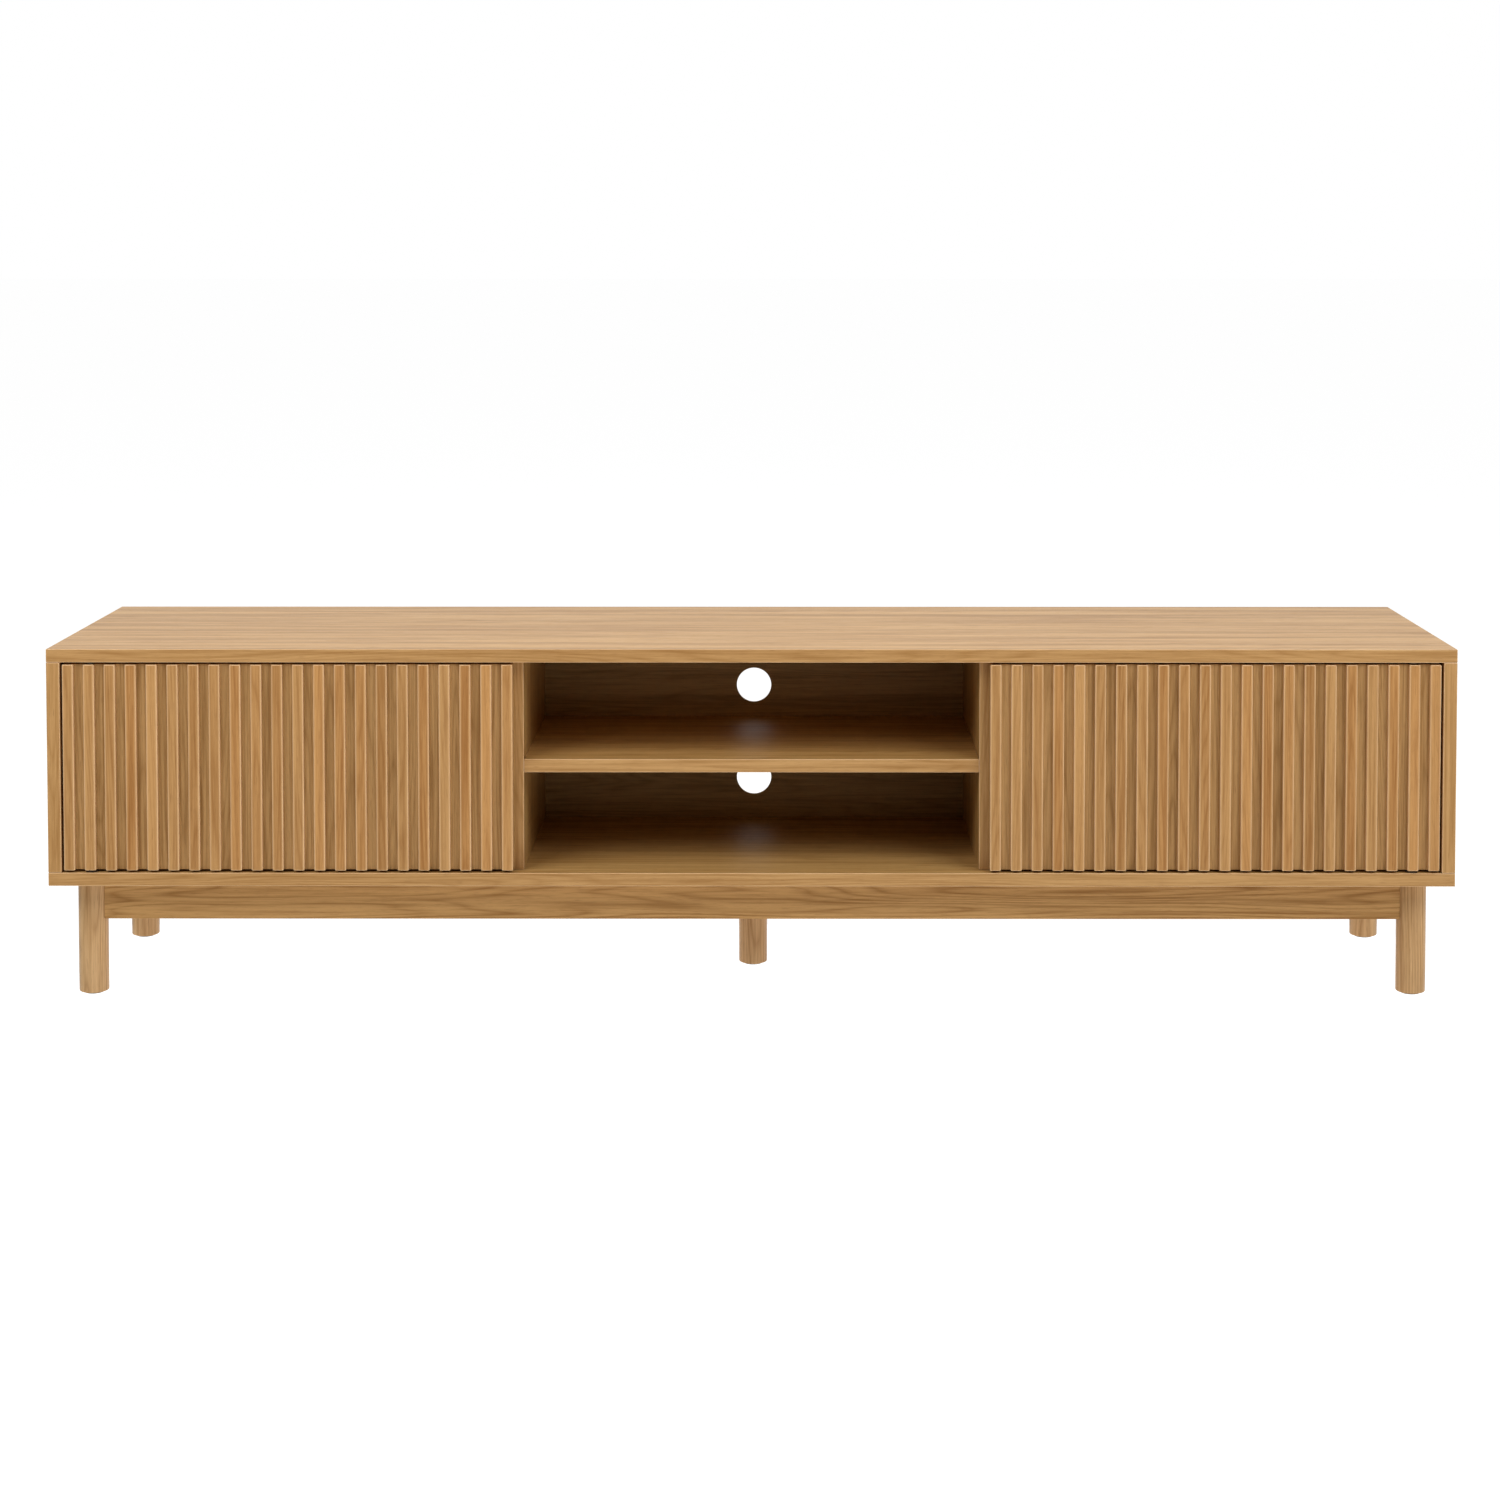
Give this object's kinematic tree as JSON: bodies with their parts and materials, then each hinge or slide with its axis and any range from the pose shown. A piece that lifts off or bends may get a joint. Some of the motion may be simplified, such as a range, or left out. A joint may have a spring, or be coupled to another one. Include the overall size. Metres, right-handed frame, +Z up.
{
  "type": "media cabinet",
  "caption": "Low oak media cabinet on round legs, with slatted doors that swing either side of an open bay with a shelf and cable holes.",
  "frame": {"origin": "on the floor below the middle of the cabinet", "axes": "+X along the cabinet's width to its right seen from the front, +Y from the front to the back, +Z up"},
  "size_m": [1.8, 0.4, 0.457],
  "materials": {
    "oak_panel": "natural oak veneer, satin lacquer",
    "oak_back": "oak veneer on thin board, satin lacquer",
    "oak_slats": "solid oak slats on a veneered backing, satin lacquer",
    "oak_base": "solid oak, satin lacquer",
    "steel": "zinc-plated steel",
    "nylon": "brown nylon",
    "black_plastic": "black moulded plastic",
    "felt": "pressed felt"
  },
  "bodies": {
    "carcass": {"back_panel": "oak_back", "bottom_panel": "oak_panel", "center_leg": "oak_base", "center_leg_glide": "felt", "center_rail_front": "oak_base", "center_rail_rear": "oak_base", "center_shelf": "oak_panel", "center_shelf_left_front_pin": "steel", "center_shelf_left_rear_pin": "steel", "center_shelf_right_front_pin": "steel", "center_shelf_right_rear_pin": "steel", "front_left_brace": "steel", "front_left_leg": "oak_base", "front_left_leg_bolt": "steel", "front_left_leg_glide": "felt", "front_rail": "oak_base", "front_right_brace": "steel", "front_right_leg": "oak_base", "front_right_leg_bolt": "steel", "front_right_leg_glide": "felt", "left_bottom_pivot_bush": "nylon", "left_divider": "oak_panel", "left_magnetic_catch": "black_plastic", "left_rail": "oak_base", "left_shelf": "oak_panel", "left_shelf_inner_front_pin": "steel", "left_shelf_inner_rear_pin": "steel", "left_shelf_outer_front_pin": "steel", "left_shelf_outer_rear_pin": "steel", "left_side_panel": "oak_panel", "left_top_pivot_bush": "nylon", "rear_left_brace": "steel", "rear_left_leg": "oak_base", "rear_left_leg_bolt": "steel", "rear_left_leg_glide": "felt", "rear_rail": "oak_base", "rear_right_brace": "steel", "rear_right_leg": "oak_base", "rear_right_leg_bolt": "steel", "rear_right_leg_glide": "felt", "right_bottom_pivot_bush": "nylon", "right_divider": "oak_panel", "right_magnetic_catch": "black_plastic", "right_rail": "oak_base", "right_shelf": "oak_panel", "right_shelf_inner_front_pin": "steel", "right_shelf_inner_rear_pin": "steel", "right_shelf_outer_front_pin": "steel", "right_shelf_outer_rear_pin": "steel", "right_side_panel": "oak_panel", "right_top_pivot_bush": "nylon", "top_panel": "oak_panel"},
    "left_door_leaf": {"left_door": "oak_slats", "left_door_bottom_pin": "steel", "left_door_top_pin": "steel", "left_strike_plate": "steel"},
    "right_door_leaf": {"right_door": "oak_slats", "right_door_bottom_pin": "steel", "right_door_top_pin": "steel", "right_strike_plate": "steel"}
  },
  "joints": [
    {"name": "left_door_hinge", "type": "hinge", "parent": "carcass", "child": "left_door_leaf", "pos_m": [-0.846, -0.1905, 0.3045], "axis": [0, 0, -1], "range_deg": [0, 110]},
    {"name": "right_door_hinge", "type": "hinge", "parent": "carcass", "child": "right_door_leaf", "pos_m": [0.846, -0.1905, 0.3045], "axis": [0, 0, 1], "range_deg": [0, 110]}
  ]
}
